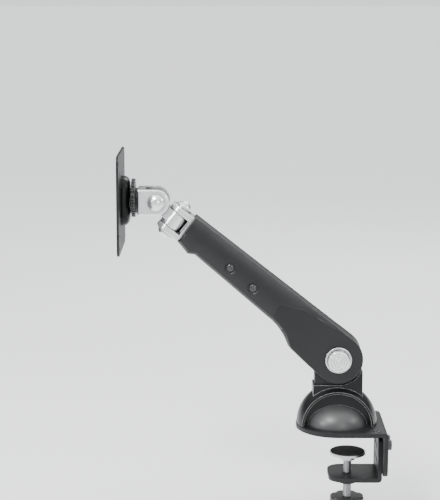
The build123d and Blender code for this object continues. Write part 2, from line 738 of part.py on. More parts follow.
with BuildPart() as cylinder_pin:
    with BuildSketch(arm_plane):
        with Locations(cylinder_pin_at):
            Circle(spring_pin_r)
    extrude(amount=beam_out, both=True)
cylinder_pin.part.label = "cylinder_pin"
export_step(cylinder_pin.part, "parts/cylinder_pin.step")

# ---- head swivel --------------------------------------------------------------------
# Cast clevis in the arm's mouth: a tongue between the beam's cheeks and two round ears.
with BuildPart() as arm_clevis:
    with BuildSketch(arm_plane):
        with Locations((219, -2.5)):
            Rectangle(18, 27.5, align=Align.MIN)
        with Locations((217, 10)):
            Rectangle(10, 16, mode=Mode.SUBTRACT)
    extrude(amount=beam_in - fit, both=True)
    with BuildSketch(arm_plane):
        with Locations((236, -3.5)):
            Rectangle(8.5, 29.5, align=Align.MIN)
    extrude(amount=ear_r, both=True)
    for side in (-1, 1):
        with BuildSketch(swivel_plane.offset(side * ear_inner)):
            Circle(ear_r)
            with Locations((0, 0)):
                Rectangle(swivel_at[0] - arm_end - 0.3, 2 * ear_r, align=(Align.MAX, Align.CENTER))
        extrude(amount=side * (ear_outer - ear_inner))
    with BuildSketch(arm_plane):
        with Locations((arm_end + 0.3, swivel_at[1] - ear_outer)):
            Rectangle(2.2, 2 * ear_outer, align=Align.MIN)
    extrude(amount=ear_r, both=True)
    rims = arm_clevis.edges().filter_by(GeomType.CIRCLE).filter_by(lambda e: abs(e.radius - ear_r) < 0.01)
    fillet(rims, 1.2)
    with BuildSketch(swivel_plane):
        Circle(head_pin_r + fit)
    extrude(amount=ear_outer + 1, both=True, mode=Mode.SUBTRACT)
    with BuildSketch(arm_plane):
        with Locations(*clevis_bolt_at):
            Circle(small_screw_r + fit)
    extrude(amount=20, both=True, mode=Mode.SUBTRACT)
arm_clevis.part.label = "arm_clevis"
export_step(arm_clevis.part, "parts/arm_clevis.step")

with BuildPart() as clevis_bolts:
    with BuildSketch(arm_plane):
        with Locations(*clevis_bolt_at):
            Circle(small_screw_r)
    extrude(amount=beam_out, both=True)
clevis_bolts.part.label = "clevis_bolts"
export_step(clevis_bolts.part, "parts/clevis_bolts.step")

# Swivel rivet with a low dome and a collar at each end.
with BuildPart() as swivel_rivet:
    with BuildSketch(Plane(origin=swivel_point, x_dir=(0, 1, 0), z_dir=along)):
        with BuildLine():
            Polyline(
                (0, 0),
                (head_pin_r, 0),
                (head_pin_r, ear_outer),
                (rivet_head_r, ear_outer),
                (rivet_head_r, ear_outer + 2),
                (rivet_head_r - 0.9, ear_outer + 2),
            )
            ThreePointArc(
                (rivet_head_r - 0.9, ear_outer + 2),
                cap_middle(rivet_head_r - 0.9, ear_outer + 2, ear_outer + rivet_head_h),
                (0, ear_outer + rivet_head_h),
            )
            Line((0, ear_outer + rivet_head_h), (0, 0))
        make_face()
    revolve(axis=Axis(swivel_point, above))
    mirror(about=Plane(origin=swivel_point, z_dir=above))
swivel_rivet.part.label = "swivel_rivet"
export_step(swivel_rivet.part, "parts/swivel_rivet.step")

with BuildPart() as swivel_washers:
    for side in (-1, 1):
        with BuildSketch(swivel_plane.offset(side * (barrel_half + 0.02))):
            Circle(12)
            Circle(head_pin_r + fit, mode=Mode.SUBTRACT)
        extrude(amount=side * (ear_inner - barrel_half - 0.07))
swivel_washers.part.label = "swivel_washers"
export_step(swivel_washers.part, "parts/swivel_washers.step")

# Link between the two head axes: an upright barrel and a cross eye.
with BuildPart() as link_block:
    neck_angle = Vector(tilt_at[0] - swivel_point.X, 0, tilt_at[1] - swivel_point.Z)
    neck_plane = Plane(origin=swivel_point, x_dir=neck_angle, z_dir=(0, 1, 0))
    with BuildSketch(swivel_plane):
        Circle(barrel_r)
    extrude(amount=barrel_half, both=True)
    fillet(link_block.edges().filter_by(GeomType.CIRCLE), 1.0)
    with BuildSketch(neck_plane):
        with Locations((neck_angle.length / 2, 0)):
            Rectangle(neck_angle.length, 14)
    extrude(amount=10.5, both=True)
    with BuildSketch(tilt_plane):
        Circle(tilt_eye_r)
    extrude(amount=tilt_eye_r, both=True)
    with BuildSketch(tilt_plane):
        Circle(head_pin_r + fit)
    extrude(amount=tilt_eye_r, both=True, mode=Mode.SUBTRACT)
    with BuildSketch(swivel_plane):
        Circle(head_pin_r + fit)
    extrude(amount=barrel_half, both=True, mode=Mode.SUBTRACT)
link_block.part.label = "link_block"
export_step(link_block.part, "parts/link_block.step")

# ---- head tilt ----------------------------------------------------------------------
with BuildPart() as tilt_washers:
    for side in (-1, 1):
        with BuildSketch(tilt_plane.offset(side * (tilt_eye_r + fit))):
            Circle(11.5)
            Circle(head_pin_r + fit, mode=Mode.SUBTRACT)
        extrude(amount=side * (tilt_ear_y[0] - tilt_eye_r - 2 * fit))
tilt_washers.part.label = "tilt_washers"
export_step(tilt_washers.part, "parts/tilt_washers.step")

# Cast clevis that carries the monitor's side of the tilt.
with BuildPart() as tilt_clevis:
    with BuildSketch(tilt_plane):
        Circle(tilt_ear_r)
        Rectangle(tilt_at[0] - tilt_root_x, 2 * tilt_ear_r, align=(Align.MAX, Align.CENTER))
    extrude(amount=tilt_ear_y[1], both=True)
    fillet(tilt_clevis.faces().filter_by(Axis.Y).edges(), 2.0)
    with BuildSketch(tilt_plane):
        with Locations((-13, 0)):
            Rectangle(40, 40, align=(Align.MIN, Align.CENTER))
    extrude(amount=tilt_ear_y[0], both=True, mode=Mode.SUBTRACT)
    with BuildSketch(tilt_plane):
        Circle(head_pin_r + fit)
    extrude(amount=tilt_ear_y[1], both=True, mode=Mode.SUBTRACT)
    with BuildSketch(head_yz.offset(tilt_root_x)):
        Circle(stud_r + fit)
    extrude(amount=12, mode=Mode.SUBTRACT)
tilt_clevis.part.label = "tilt_clevis"
export_step(tilt_clevis.part, "parts/tilt_clevis.step")

# Tilt pin with a domed head at each side.
with BuildPart() as tilt_pin:
    with BuildSketch(Plane(origin=tilt_point, x_dir=(0, 0, 1), z_dir=(1, 0, 0))):
        with BuildLine():
            Polyline(
                (0, 0),
                (head_pin_r, 0),
                (head_pin_r, tilt_ear_y[1]),
                (tilt_head_r, tilt_ear_y[1]),
                (tilt_head_r, tilt_ear_y[1] + 0.8),
            )
            ThreePointArc(
                (tilt_head_r, tilt_ear_y[1] + 0.8),
                cap_middle(tilt_head_r, tilt_ear_y[1] + 0.8, tilt_ear_y[1] + tilt_head_h),
                (0, tilt_ear_y[1] + tilt_head_h),
            )
            Line((0, tilt_ear_y[1] + tilt_head_h), (0, 0))
        make_face()
    revolve(axis=Axis(tilt_point, (0, 1, 0)))
    mirror(about=Plane.XZ)
tilt_pin.part.label = "tilt_pin"
export_step(tilt_pin.part, "parts/tilt_pin.step")

with BuildPart() as pivot_collar:
    with BuildSketch(head_yz.offset(index_x[1])):
        Circle(collar_r)
        Circle(stud_r + fit, mode=Mode.SUBTRACT)
    extrude(amount=tilt_root_x - index_x[1])
pivot_collar.part.label = "pivot_collar"
export_step(pivot_collar.part, "parts/pivot_collar.step")

# Notched index plate that is gripped between the collar and the hub.
with BuildPart() as index_plate:
    with BuildSketch(head_yz.offset(index_x[0])):
        Circle(index_upper_r)
        with Locations((0, -8)):
            Rectangle(80, 60, align=(Align.CENTER, Align.MAX), mode=Mode.SUBTRACT)
        Circle(index_r)
        with PolarLocations(index_upper_r, 24):
            Circle(1.9, mode=Mode.SUBTRACT)
        with PolarLocations(index_r, 9, start_angle=210, angular_range=120, endpoint=True):
            Circle(1.5, mode=Mode.SUBTRACT)
        Circle(stud_r + fit, mode=Mode.SUBTRACT)
    extrude(amount=index_x[1] - index_x[0])
index_plate.part.label = "index_plate"
export_step(index_plate.part, "parts/index_plate.step")

with BuildPart() as rotation_stud:
    with BuildSketch(head_yz.offset(hub_x[0] + 0.8)):
        Circle(stud_r)
    extrude(amount=tilt_root_x + 8 - hub_x[0] - 0.8)
rotation_stud.part.label = "rotation_stud"
export_step(rotation_stud.part, "parts/rotation_stud.step")

# ---- monitor plate ------------------------------------------------------------------
# Cast hub that turns on the stud, hollow for the washers and nut.
hub_floor_x = -253.5
with BuildPart() as hub_cover:
    with BuildSketch(head_yz.offset(hub_x[0])):
        RectangleRounded(hub_w, hub_h, 12)
    extrude(amount=hub_x[1] - hub_x[0])
    fillet(hub_cover.edges().group_by(Axis.X)[-1], 4.5)
    with BuildSketch(head_yz.offset(hub_x[1])):
        Circle(collar_r)
    extrude(amount=index_x[0] - 0.1 - hub_x[1])
    with BuildSketch(head_yz.offset(hub_x[0])):
        Circle(14)
    extrude(amount=hub_floor_x - hub_x[0], mode=Mode.SUBTRACT)
    with BuildSketch(head_yz.offset(hub_floor_x)):
        Circle(stud_r + fit)
    extrude(amount=index_x[0] - hub_floor_x, mode=Mode.SUBTRACT)
    with BuildSketch(head_yz.offset(hub_x[0])):
        with GridLocations(*hub_screw_pitch, 2, 2):
            Circle(1.6 + fit)
    extrude(amount=6, mode=Mode.SUBTRACT)
hub_cover.part.label = "hub_cover"
export_step(hub_cover.part, "parts/hub_cover.step")

with BuildPart() as stud_washers:
    for washer_x in (hub_floor_x - 0.05, hub_floor_x - 0.85):
        with BuildSketch(head_yz.offset(washer_x)):
            Circle(12)
            Circle(stud_r + fit, mode=Mode.SUBTRACT)
        extrude(amount=-0.75)
stud_washers.part.label = "stud_washers"
export_step(stud_washers.part, "parts/stud_washers.step")

with BuildPart() as stud_nut:
    with BuildSketch(head_yz.offset(hub_floor_x - 1.65)):
        RegularPolygon(10.3, 6)
        Circle(stud_r + fit, mode=Mode.SUBTRACT)
    extrude(amount=-4.8)
stud_nut.part.label = "stud_nut"
export_step(stud_nut.part, "parts/stud_nut.step")

# Steel plate with the 75 mm and 100 mm square hole patterns.
with BuildPart() as vesa_plate:
    with BuildSketch(head_yz.offset(hub_x[0])):
        RectangleRounded(vesa_size, vesa_size, 8)
        with GridLocations(100, 100, 2, 2):
            Circle(vesa_hole_r, mode=Mode.SUBTRACT)
        with GridLocations(75, 75, 2, 2):
            Circle(vesa_hole_r, mode=Mode.SUBTRACT)
        with GridLocations(*hub_screw_pitch, 2, 2):
            Circle(1.6 + fit, mode=Mode.SUBTRACT)
    extrude(amount=-vesa_t)
    with BuildSketch(head_yz.offset(hub_x[0] - vesa_t)):
        with GridLocations(*hub_screw_pitch, 2, 2):
            Circle(3.3)
    extrude(amount=1.3, mode=Mode.SUBTRACT)
vesa_plate.part.label = "vesa_plate"
export_step(vesa_plate.part, "parts/vesa_plate.step")

with BuildPart() as plate_screws:
    with BuildSketch(head_yz.offset(hub_x[0] - vesa_t + 0.1)):
        with GridLocations(*hub_screw_pitch, 2, 2):
            Circle(3.2)
    extrude(amount=1.2)
    with BuildSketch(head_yz.offset(hub_x[0] - vesa_t + 1.3)):
        with GridLocations(*hub_screw_pitch, 2, 2):
            Circle(1.6)
    extrude(amount=6)
plate_screws.part.label = "plate_screws"
export_step(plate_screws.part, "parts/plate_screws.step")
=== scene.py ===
import json
from math import atan2, cos, pi, radians, sin

import bpy
import numpy as np
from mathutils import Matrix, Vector


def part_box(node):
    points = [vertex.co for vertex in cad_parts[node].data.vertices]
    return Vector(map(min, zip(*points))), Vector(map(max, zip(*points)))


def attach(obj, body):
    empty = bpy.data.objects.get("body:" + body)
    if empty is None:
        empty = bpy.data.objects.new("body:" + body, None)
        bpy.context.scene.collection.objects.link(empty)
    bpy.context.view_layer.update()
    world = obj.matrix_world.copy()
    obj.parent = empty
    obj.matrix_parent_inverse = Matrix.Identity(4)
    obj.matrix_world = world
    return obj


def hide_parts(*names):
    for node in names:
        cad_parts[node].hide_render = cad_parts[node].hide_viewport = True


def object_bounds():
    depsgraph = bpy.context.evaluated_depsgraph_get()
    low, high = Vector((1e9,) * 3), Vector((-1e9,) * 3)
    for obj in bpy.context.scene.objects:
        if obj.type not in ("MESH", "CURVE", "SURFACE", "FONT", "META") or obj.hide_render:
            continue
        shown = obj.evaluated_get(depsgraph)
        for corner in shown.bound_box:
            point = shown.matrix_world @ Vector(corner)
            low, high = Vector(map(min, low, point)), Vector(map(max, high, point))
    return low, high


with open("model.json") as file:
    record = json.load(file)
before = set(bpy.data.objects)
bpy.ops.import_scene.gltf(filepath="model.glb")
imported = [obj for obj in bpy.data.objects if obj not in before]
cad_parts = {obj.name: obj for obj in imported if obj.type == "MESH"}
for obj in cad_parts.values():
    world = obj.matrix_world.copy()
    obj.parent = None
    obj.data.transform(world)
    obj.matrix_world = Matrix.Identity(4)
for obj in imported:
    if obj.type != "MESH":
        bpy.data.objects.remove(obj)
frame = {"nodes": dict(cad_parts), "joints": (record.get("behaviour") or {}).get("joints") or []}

cad_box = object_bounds()

# ---- The studio ---------------------------------------------------------------------
# A pale floor, low enough for the clamp's knob at the end of its travel, soft boxes all round,
# and a sky that is bright overhead. The camera stands back and looks slightly down.
camera_place = Vector((-0.137, -1.85, 0.55))
camera_pitch = radians(10.1)
camera_turn = radians(0.19)
camera_lens_mm = 112.3

camera = bpy.data.objects.new("camera", bpy.data.cameras.new("camera"))
camera.data.lens = camera_lens_mm
camera.data.sensor_width = 36
camera.data.clip_end = 50
camera.location = camera_place
camera.rotation_euler = (pi / 2 - camera_pitch, 0, camera_turn)
bpy.context.scene.collection.objects.link(camera)
bpy.context.scene.camera = camera


def soft_box(name, place, aim, size, watts):
    """A square studio lamp at place, facing aim."""
    lamp = bpy.data.lights.new(name, "AREA")
    lamp.size = size
    lamp.energy = watts
    holder = bpy.data.objects.new(name, lamp)
    holder.location = place
    holder.rotation_euler = (Vector(aim) - Vector(place)).to_track_quat("-Z", "Y").to_euler()
    bpy.context.scene.collection.objects.link(holder)


soft_box("top_light", (-0.7, -0.9, 1.3), (-0.1, 0, 0.1), 0.45, 24)
soft_box("left_light", (-1.6, -1.1, 0.8), (-0.15, 0, 0.2), 0.55, 20)
soft_box("right_light", (1.5, -0.5, 1.0), (0, 0, 0.1), 0.5, 7)
soft_box("front_light", (0.6, -1.9, 0.6), (-0.1, 0, 0.15), 0.45, 7)
soft_box("rear_light", (0.5, 1.7, 1.4), (-0.1, 0, 0.15), 0.9, 14)


class Signal:
    """One value in a node tree. Arithmetic on it adds the Math nodes that work it out."""

    def __init__(self, nodes, socket):
        self.nodes = nodes
        self.socket = socket

    def maths(self, operation, left, right):
        return self.nodes.node("ShaderNodeMath", {"operation": operation}, {0: left, 1: right})

    def __add__(self, other):
        return self.maths("ADD", self, other)

    def __radd__(self, other):
        return self.maths("ADD", other, self)

    def __sub__(self, other):
        return self.maths("SUBTRACT", self, other)

    def __rsub__(self, other):
        return self.maths("SUBTRACT", other, self)

    def __mul__(self, other):
        return self.maths("MULTIPLY", self, other)

    def __rmul__(self, other):
        return self.maths("MULTIPLY", other, self)


class Nodes:
    """A node tree, and the one way that nodes are added to it."""

    def __init__(self, tree):
        self.tree = tree

    def feed(self, socket, value):
        if isinstance(value, Signal):
            self.tree.links.new(value.socket, socket)
        else:
            socket.default_value = value

    def node(self, kind, settings, inputs, output=0):
        made = self.tree.nodes.new(kind)
        for key, value in settings.items():
            if key == "stops":
                ramp = made.color_ramp.elements
                while len(ramp) < len(value):
                    ramp.new(0.5)
                for stop, (position, color) in zip(ramp, value):
                    stop.position = position
                    stop.color = color
            else:
                setattr(made, key, value)
        for key, value in inputs.items():
            self.feed(made.inputs[key], value)
        return Signal(self, made.outputs[output])


class Finish(Nodes):
    """A surface finish: one Principled shader, and the nodes that vary it over the surface."""

    def __init__(self, name, color, roughness, metallic=0.0, **constants):
        self.material = bpy.data.materials.new(name)
        self.material.use_nodes = True
        super().__init__(self.material.node_tree)
        self.shader = self.tree.nodes["Principled BSDF"]
        self.material.diffuse_color = (*color, 1)
        self.set("Base Color", (*color, 1))
        self.set("Roughness", roughness)
        self.set("Metallic", metallic)
        for socket, value in constants.items():
            self.set(socket.replace("_", " "), value)
        self.place = self.node("ShaderNodeTexCoord", {}, {}, "Object")

    def set(self, socket, value):
        self.feed(self.shader.inputs[socket], value)

    def noise(self, scale, detail):
        return self.node(
            "ShaderNodeTexNoise", {}, {"Vector": self.place, "Scale": scale, "Detail": detail}
        )

    def ramp(self, value, low, high):
        """0 where value is under low, 1 over high, and straight between them."""
        return self.node(
            "ShaderNodeMapRange",
            {"clamp": True},
            {"Value": value, "From Min": low, "From Max": high, "To Min": 0.0, "To Max": 1.0},
        )

    def mix(self, share, first, second):
        """A colour between two, by share."""
        return self.node(
            "ShaderNodeMix",
            {"data_type": "RGBA"},
            {"Factor": share, 6: first, 7: second},
            2,
        )

    def edges(self, radius):
        """0 on flat faces, up to 1 where an edge turns within radius."""
        bent = self.node("ShaderNodeBevel", {"samples": 6}, {"Radius": radius})
        flat = self.node("ShaderNodeNewGeometry", {}, {}, "Normal")
        same = self.node("ShaderNodeVectorMath", {"operation": "DOT_PRODUCT"}, {0: bent, 1: flat}, "Value")
        return self.ramp(1 - same, 0.01, 0.22)

    def crevices(self, reach):
        """0 in the open, up to 1 deep in a gap narrower than reach."""
        open_share = self.node(
            "ShaderNodeAmbientOcclusion", {"samples": 8}, {"Distance": reach}, "AO"
        )
        return 1 - self.ramp(open_share, 0.35, 0.95)

    def bump(self, height, distance, strength, rounding=0.0):
        """Relief from height, on top of edges that are rounded over by the rounding radius."""
        inputs = {"Height": height, "Distance": distance, "Strength": strength}
        if rounding:
            inputs["Normal"] = self.node("ShaderNodeBevel", {"samples": 6}, {"Radius": rounding})
        self.set("Normal", self.node("ShaderNodeBump", {}, inputs))


floor_finish = Finish("floor_paint", (0.9, 0.905, 0.91), 0.9)
# Painted shade and glow: the floor's colour darkens toward the camera, and its own glow, also darker in
# front, stands in for light.
floor_depth = floor_finish.node("ShaderNodeSeparateXYZ", {}, {"Vector": floor_finish.place}, "Y")
floor_finish.set("Base Color", floor_finish.mix(
    floor_finish.ramp(floor_depth, -0.8, 0.05), (0.52, 0.525, 0.53, 1), (0.9, 0.905, 0.91, 1)
))
floor_finish.set("Emission Color", floor_finish.mix(
    floor_finish.ramp(floor_depth, -0.6, 0.2), (0.35, 0.355, 0.36, 1), (0.97, 0.985, 1.0, 1)
))
floor_finish.set("Emission Strength", 0.3)
floor_size = 30.0
clamp_knob_drop = 0.014
floor_gap = 0.0005
floor_z = cad_box[0].z - clamp_knob_drop - floor_gap
floor_mesh = bpy.data.meshes.new("floor")
floor_mesh.from_pydata(
    [(x * floor_size, y * floor_size, floor_z) for x, y in ((-1, -1), (1, -1), (1, 1), (-1, 1))],
    [],
    [(0, 1, 2, 3)],
)
floor_mesh.materials.append(floor_finish.material)
floor = bpy.data.objects.new("floor", floor_mesh)
bpy.context.scene.collection.objects.link(floor)

sky = bpy.data.worlds.new("sky")
bpy.context.scene.world = sky
sky.use_nodes = True
sky_nodes = Nodes(sky.node_tree)
sky_place = sky_nodes.node("ShaderNodeTexCoord", {}, {}, "Generated")
sky_height = sky_nodes.node("ShaderNodeSeparateXYZ", {}, {"Vector": sky_place}, "Z")
sky_depth = sky_nodes.node("ShaderNodeSeparateXYZ", {}, {"Vector": sky_place}, "Y")
sky_tint = (0.97, 0.985, 1.0)
sky_shades = [(0.0, 0.98), (0.03, 0.9), (0.08, 0.11), (0.3, 0.2), (0.9, 1.0)]
sky_stops = [(height, (*(shade * tint for tint in sky_tint), 1)) for height, shade in sky_shades]
sky_light = sky.node_tree.nodes["Background"].inputs
sky_nodes.feed(sky_light["Color"], sky_nodes.node(
    "ShaderNodeValToRGB", {"stops": sky_stops}, {"Fac": sky_height}
))
sky_nodes.feed(sky_light["Strength"], sky_nodes.node(
    "ShaderNodeMapRange", {},
    {"Value": sky_depth, "From Min": -0.2, "From Max": 0.8, "To Min": 2.1, "To Max": 1.3},
))


# ---- Desk clamp ---------------------------------------------------------------------
# Bracket and jaw are bent from 5 mm steel and powder-coated black. The coating has a fine
# orange peel, and a painted highlight brightens its edges a little. The yoke, the beam, the gas
# spring's cylinder and the monitor plate have the same coat.
def dress(finish, *nodes):
    """Gives CAD pieces their finish."""
    for node in nodes:
        data = frame["nodes"][node].data
        data.materials.clear()
        data.materials.append(finish.material)


black_coat = Finish("black_powder_coat", (0.008, 0.0085, 0.009), 0.46, Specular_IOR_Level=0.28)
coat_cloud = black_coat.noise(45, 4.0)
# Painted highlight: the edges mask lightens the colour along edges; the cloud is the coat's own uneven
# tone.
black_coat.set("Base Color", black_coat.mix(
    black_coat.edges(0.0006) * 0.5 + coat_cloud * 0.2,
    (0.007, 0.0075, 0.008, 1),
    (0.045, 0.046, 0.048, 1),
))
black_coat.set("Roughness", 0.42 + coat_cloud * 0.12)
black_coat.bump(black_coat.noise(1400, 2.0), 0.00006, 0.5, 0.0008)
dress(black_coat, "clamp_bracket", "jaw_bracket", "yoke", "arm_beam", "spring_cylinder", "vesa_plate")

# ---- Screws ---------------------------------------------------------------------------
# Socket screws of hardened steel with a black oxide, painted lighter on the heads' rims as a
# highlight. They hold the jaw, the desk plate's corners, the yoke and the monitor plate.
black_oxide = Finish("black_oxide", (0.06, 0.06, 0.062), 0.26, 0.8)
# Painted highlight: the edges mask lightens the heads' rims.
black_oxide.set("Base Color", black_oxide.mix(
    black_oxide.edges(0.0004), (0.07, 0.07, 0.072, 1), (0.4, 0.4, 0.41, 1)
))
black_oxide.bump(black_oxide.noise(2600, 2.0), 0.00003, 0.5, 0.0003)
dress(black_oxide, "jaw_screws", "corner_screws", "yoke_screws", "plate_screws")

# ---- Desk pads ------------------------------------------------------------------------
# The sheet under the desk plate and the face of the pressure foot are moulded rubber, dusty
# grey in patches, with a painted highlight along their edges.
rubber = Finish("rubber", (0.03, 0.03, 0.031), 0.8)
rubber_dust = rubber.noise(160, 4.0)
rubber.set("Base Color", rubber.mix(
    # Dust patches from the noise, and a painted highlight from the edges mask.
    rubber.ramp(rubber_dust, 0.4, 0.75) * 0.6 + rubber.edges(0.0005) * 0.3,
    (0.022, 0.022, 0.023, 1),
    (0.075, 0.074, 0.072, 1),
))
rubber.set("Roughness", 0.74 + rubber_dust * 0.14)
rubber.bump(rubber.noise(1900, 2.0), 0.00008, 0.6)
dress(rubber, "desk_pad", "pressure_pad")

# ---- Pins, nuts and shafts --------------------------------------------------------------
# The post, pins, nuts, shafts and the gas spring's rod are turned from bright steel, with
# fine tool marks, and the pressure foot's plate is stamped from the same.
steel = Finish("turned_steel", (0.56, 0.56, 0.57), 0.32, 1.0)
steel_cloud = steel.noise(300, 3.0)
steel.set("Base Color", steel.mix(steel_cloud, (0.48, 0.48, 0.49, 1), (0.64, 0.64, 0.65, 1)))
steel.set("Roughness", 0.26 + steel_cloud * 0.14)
steel.bump(steel_cloud, 0.00002, 0.4, 0.0003)
dress(
    steel, "pressure_plate", "swivel_post", "disc_spring", "swivel_nut", "anchor_pin", "lift_shaft",
    "shaft_nuts", "cylinder_pin", "spring_rod", "rod_eye", "clevis_bolts", "rotation_stud", "stud_nut",
)

# ---- Nylon washers and gland --------------------------------------------------------------
# Washers between the turning pieces, and the gas spring's gland, are natural nylon, slightly
# mottled and greasy in places.
nylon = Finish("nylon", (0.72, 0.7, 0.64), 0.5)
nylon_mottle = nylon.noise(220, 3.0)
nylon.set("Base Color", nylon.mix(nylon_mottle, (0.62, 0.6, 0.53, 1), (0.8, 0.78, 0.72, 1)))
nylon.set("Roughness", 0.36 + nylon_mottle * 0.2)
nylon.bump(nylon.noise(1500, 2.0), 0.00002, 0.4)
dress(
    nylon, "thrust_washer", "friction_washer", "spring_gland", "swivel_washers", "tilt_washers",
    "stud_washers",
)

# ---- Lift bushings ------------------------------------------------------------------------
# Flanged bushings of sintered bronze, pressed into the yoke. They are finely pored, and
# darker where the oil has soaked in.
bronze = Finish("bronze", (0.6, 0.4, 0.2), 0.3, 1.0)
bronze_oil = bronze.noise(260, 4.0)
bronze.set("Base Color", bronze.mix(bronze_oil, (0.42, 0.26, 0.12, 1), (0.7, 0.48, 0.25, 1)))
bronze.set("Roughness", 0.26 + bronze_oil * 0.16)
bronze.bump(bronze.noise(2400, 2.0), 0.00003, 0.6, 0.0002)
dress(bronze, "lift_bushings")

# ---- Moulded knob, strip, collar and index plate --------------------------------------------
# Satin black plastic with a fine grain, its edges painted brighter as a highlight. The
# arm's covers are moulded from it too.
black_plastic = Finish("black_satin_plastic", (0.007, 0.0075, 0.008), 0.32, Specular_IOR_Level=0.42)
plastic_cloud = black_plastic.noise(55, 3.0)
# Painted highlight: the edges mask lightens the colour along the edges.
black_plastic.set("Base Color", black_plastic.mix(
    black_plastic.edges(0.0009) + plastic_cloud * 0.01,
    (0.006, 0.0064, 0.0066, 1),
    (0.3, 0.303, 0.306, 1),
))
black_plastic.set("Roughness", 0.28 + plastic_cloud * 0.1)
black_plastic.bump(black_plastic.noise(1800, 2.0), 0.00004, 0.5, 0.0006)
dress(black_plastic, "clamp_knob", "arm_underside", "pivot_collar", "index_plate")

# ---- Turret -------------------------------------------------------------------------------
# The turret, like the head's hub cover, is die-cast and painted satin black. A painted
# highlight brightens its sharp edges, standing in for the light they catch.
black_cast = Finish("black_cast", (0.005, 0.0053, 0.0056), 0.3, Specular_IOR_Level=0.26)
cast_cloud = black_cast.noise(80, 3.0)
# Painted highlight: the edges mask lightens the colour along sharp edges.
black_cast.set("Base Color", black_cast.mix(
    black_cast.edges(0.0008), (0.005, 0.0053, 0.0056, 1), (0.5, 0.505, 0.51, 1)
))
black_cast.set("Roughness", 0.26 + cast_cloud * 0.1)
black_cast.bump(black_cast.noise(1500, 2.0), 0.00004, 0.4, 0.0007)
dress(black_cast, "turret_housing")

# ---- Dome ---------------------------------------------------------------------------------
# The dome stands still on the desk plate while the turret turns over it. It has a smoother
# and glossier skin than the rest.
dome_plastic = Finish("dome_plastic", (0.045, 0.046, 0.046), 0.4, Specular_IOR_Level=0.7)
dome_cloud = dome_plastic.noise(90, 3.0)
dome_plastic.set("Base Color", dome_plastic.mix(
    dome_cloud, (0.038, 0.039, 0.039, 1), (0.052, 0.053, 0.053, 1)
))
dome_plastic.set("Roughness", 0.36 + dome_cloud * 0.08)
dome_plastic.bump(dome_plastic.noise(1700, 2.0), 0.00002, 0.4)
dress(dome_plastic, "base_dome")

# ---- Silver fittings ------------------------------------------------------------------------
# The clevises, the link, the rivet and the tilt pin of the head are cast and turned metal in
# a satin silver finish, with painted shade that darkens the crevices between them.
silver = Finish("satin_silver", (0.9, 0.905, 0.91), 0.24, 0.85)
silver_cloud = silver.noise(70, 3.0)
# Painted shade: crevices found by ambient occlusion turn the colour near black.
silver.set("Base Color", silver.mix(
    silver.crevices(0.008),
    silver.mix(silver_cloud, (0.86, 0.865, 0.87, 1), (0.93, 0.935, 0.94, 1)),
    (0.03, 0.03, 0.032, 1),
))
silver.set("Roughness", 0.2 + silver_cloud * 0.1)
silver.bump(silver.noise(1500, 2.0), 0.00003, 0.4, 0.0006)
dress(silver, "arm_clevis", "swivel_rivet", "link_block", "tilt_clevis", "tilt_pin")


# ---- Arm covers -------------------------------------------------------------------------
# Two moulded shells of satin black plastic, screwed to the sides of the steel beam. Their
# sides are crowned, with two screw recesses, and dish in to a flat round the hub.
joints = {joint["name"]: joint for joint in frame["joints"]}
lift_axis = Vector(joints["lift"]["pos_m"])
above = Vector(joints["head_swivel"]["axis"]).normalized()
along = Vector((-above.z, 0, above.x))
hub_radius = 0.030
hub_join = (0.0026, -0.0299)
hub_join_turn = 0.0868
arm_top = 0.0298
arm_end = 0.242
cover_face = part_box("arm_cover_far")[1].y
cover_back = 0.01545
cover_wall_least = 0.0001
cover_rim = 0.0022
cover_lip = 0.01245
top_edge_radius = 0.0007
low_edge_radius = 0.0042
low_edge_reach = 0.006
low_edge_length = 0.05
crown_lift = 0.001
crown_drop_top = 0.0024
crown_drop_low = 0.0036
hub_face = 0.0184
dish_start = 0.02
dish_floor = 0.0159
dish_step = 0.0016
dish_length = 0.095
screw_spots = [(0.1723, 0.0078), (0.1357, 0.0054)]
recess_radius = 0.0068
recess_floor = 0.0170
recess_lip = 0.0010
hub_steps = 60
hub_row_steps = 16
side_steps = 76
full_edge_span = 0.016


def arc_through(start, middle, end, count):
    """Points on the circle through three points."""
    (ax, ay), (bx, by), (cx, cy) = start, middle, end
    twice = 2 * (ax * (by - cy) + bx * (cy - ay) + cx * (ay - by))
    a2, b2, c2 = ax**2 + ay**2, bx**2 + by**2, cx**2 + cy**2
    ox = (a2 * (by - cy) + b2 * (cy - ay) + c2 * (ay - by)) / twice
    oy = (a2 * (cx - bx) + b2 * (ax - cx) + c2 * (bx - ax)) / twice
    first, last = atan2(ay - oy, ax - ox), atan2(cy - oy, cx - ox)
    reach = np.hypot(ax - ox, ay - oy)
    turn = np.linspace(first, last, count)
    return [(ox + reach * cos(t), oy + reach * sin(t)) for t in turn]


def rounded(points, times=2):
    """A closed outline with its corners cut, time after time, until they are round."""
    path = np.array(points)
    for _ in range(times):
        ahead = np.roll(path, -1, axis=0)
        path = np.stack((path * 0.75 + ahead * 0.25, path * 0.25 + ahead * 0.75), 1).reshape(-1, 2)
    return path


def distance_to(path, x, y):
    """Distance from each point to a closed outline."""
    best = np.full(x.shape, 1e9)
    for (ax, ay), (bx, by) in zip(path, np.roll(path, -1, axis=0)):
        dx, dy = bx - ax, by - ay
        share = np.clip(((x - ax) * dx + (y - ay) * dy) / (dx * dx + dy * dy + 1e-18), 0, 1)
        best = np.minimum(best, np.hypot(x - ax - share * dx, y - ay - share * dy))
    return best


def inside(path, x, y):
    """True where a point is inside a closed outline."""
    odd = np.zeros(x.shape, bool)
    for (ax, ay), (bx, by) in zip(path, np.roll(path, -1, axis=0)):
        crosses = (ay > y) != (by > y)
        odd ^= crosses & (x < (bx - ax) * (y - ay) / (by - ay + 1e-18) + ax)
    return odd


def smooth_step(value):
    """0 below 0, 1 above 1, and an easy S between them."""
    clipped = np.clip(value, 0, 1)
    return clipped * clipped * (3 - 2 * clipped)


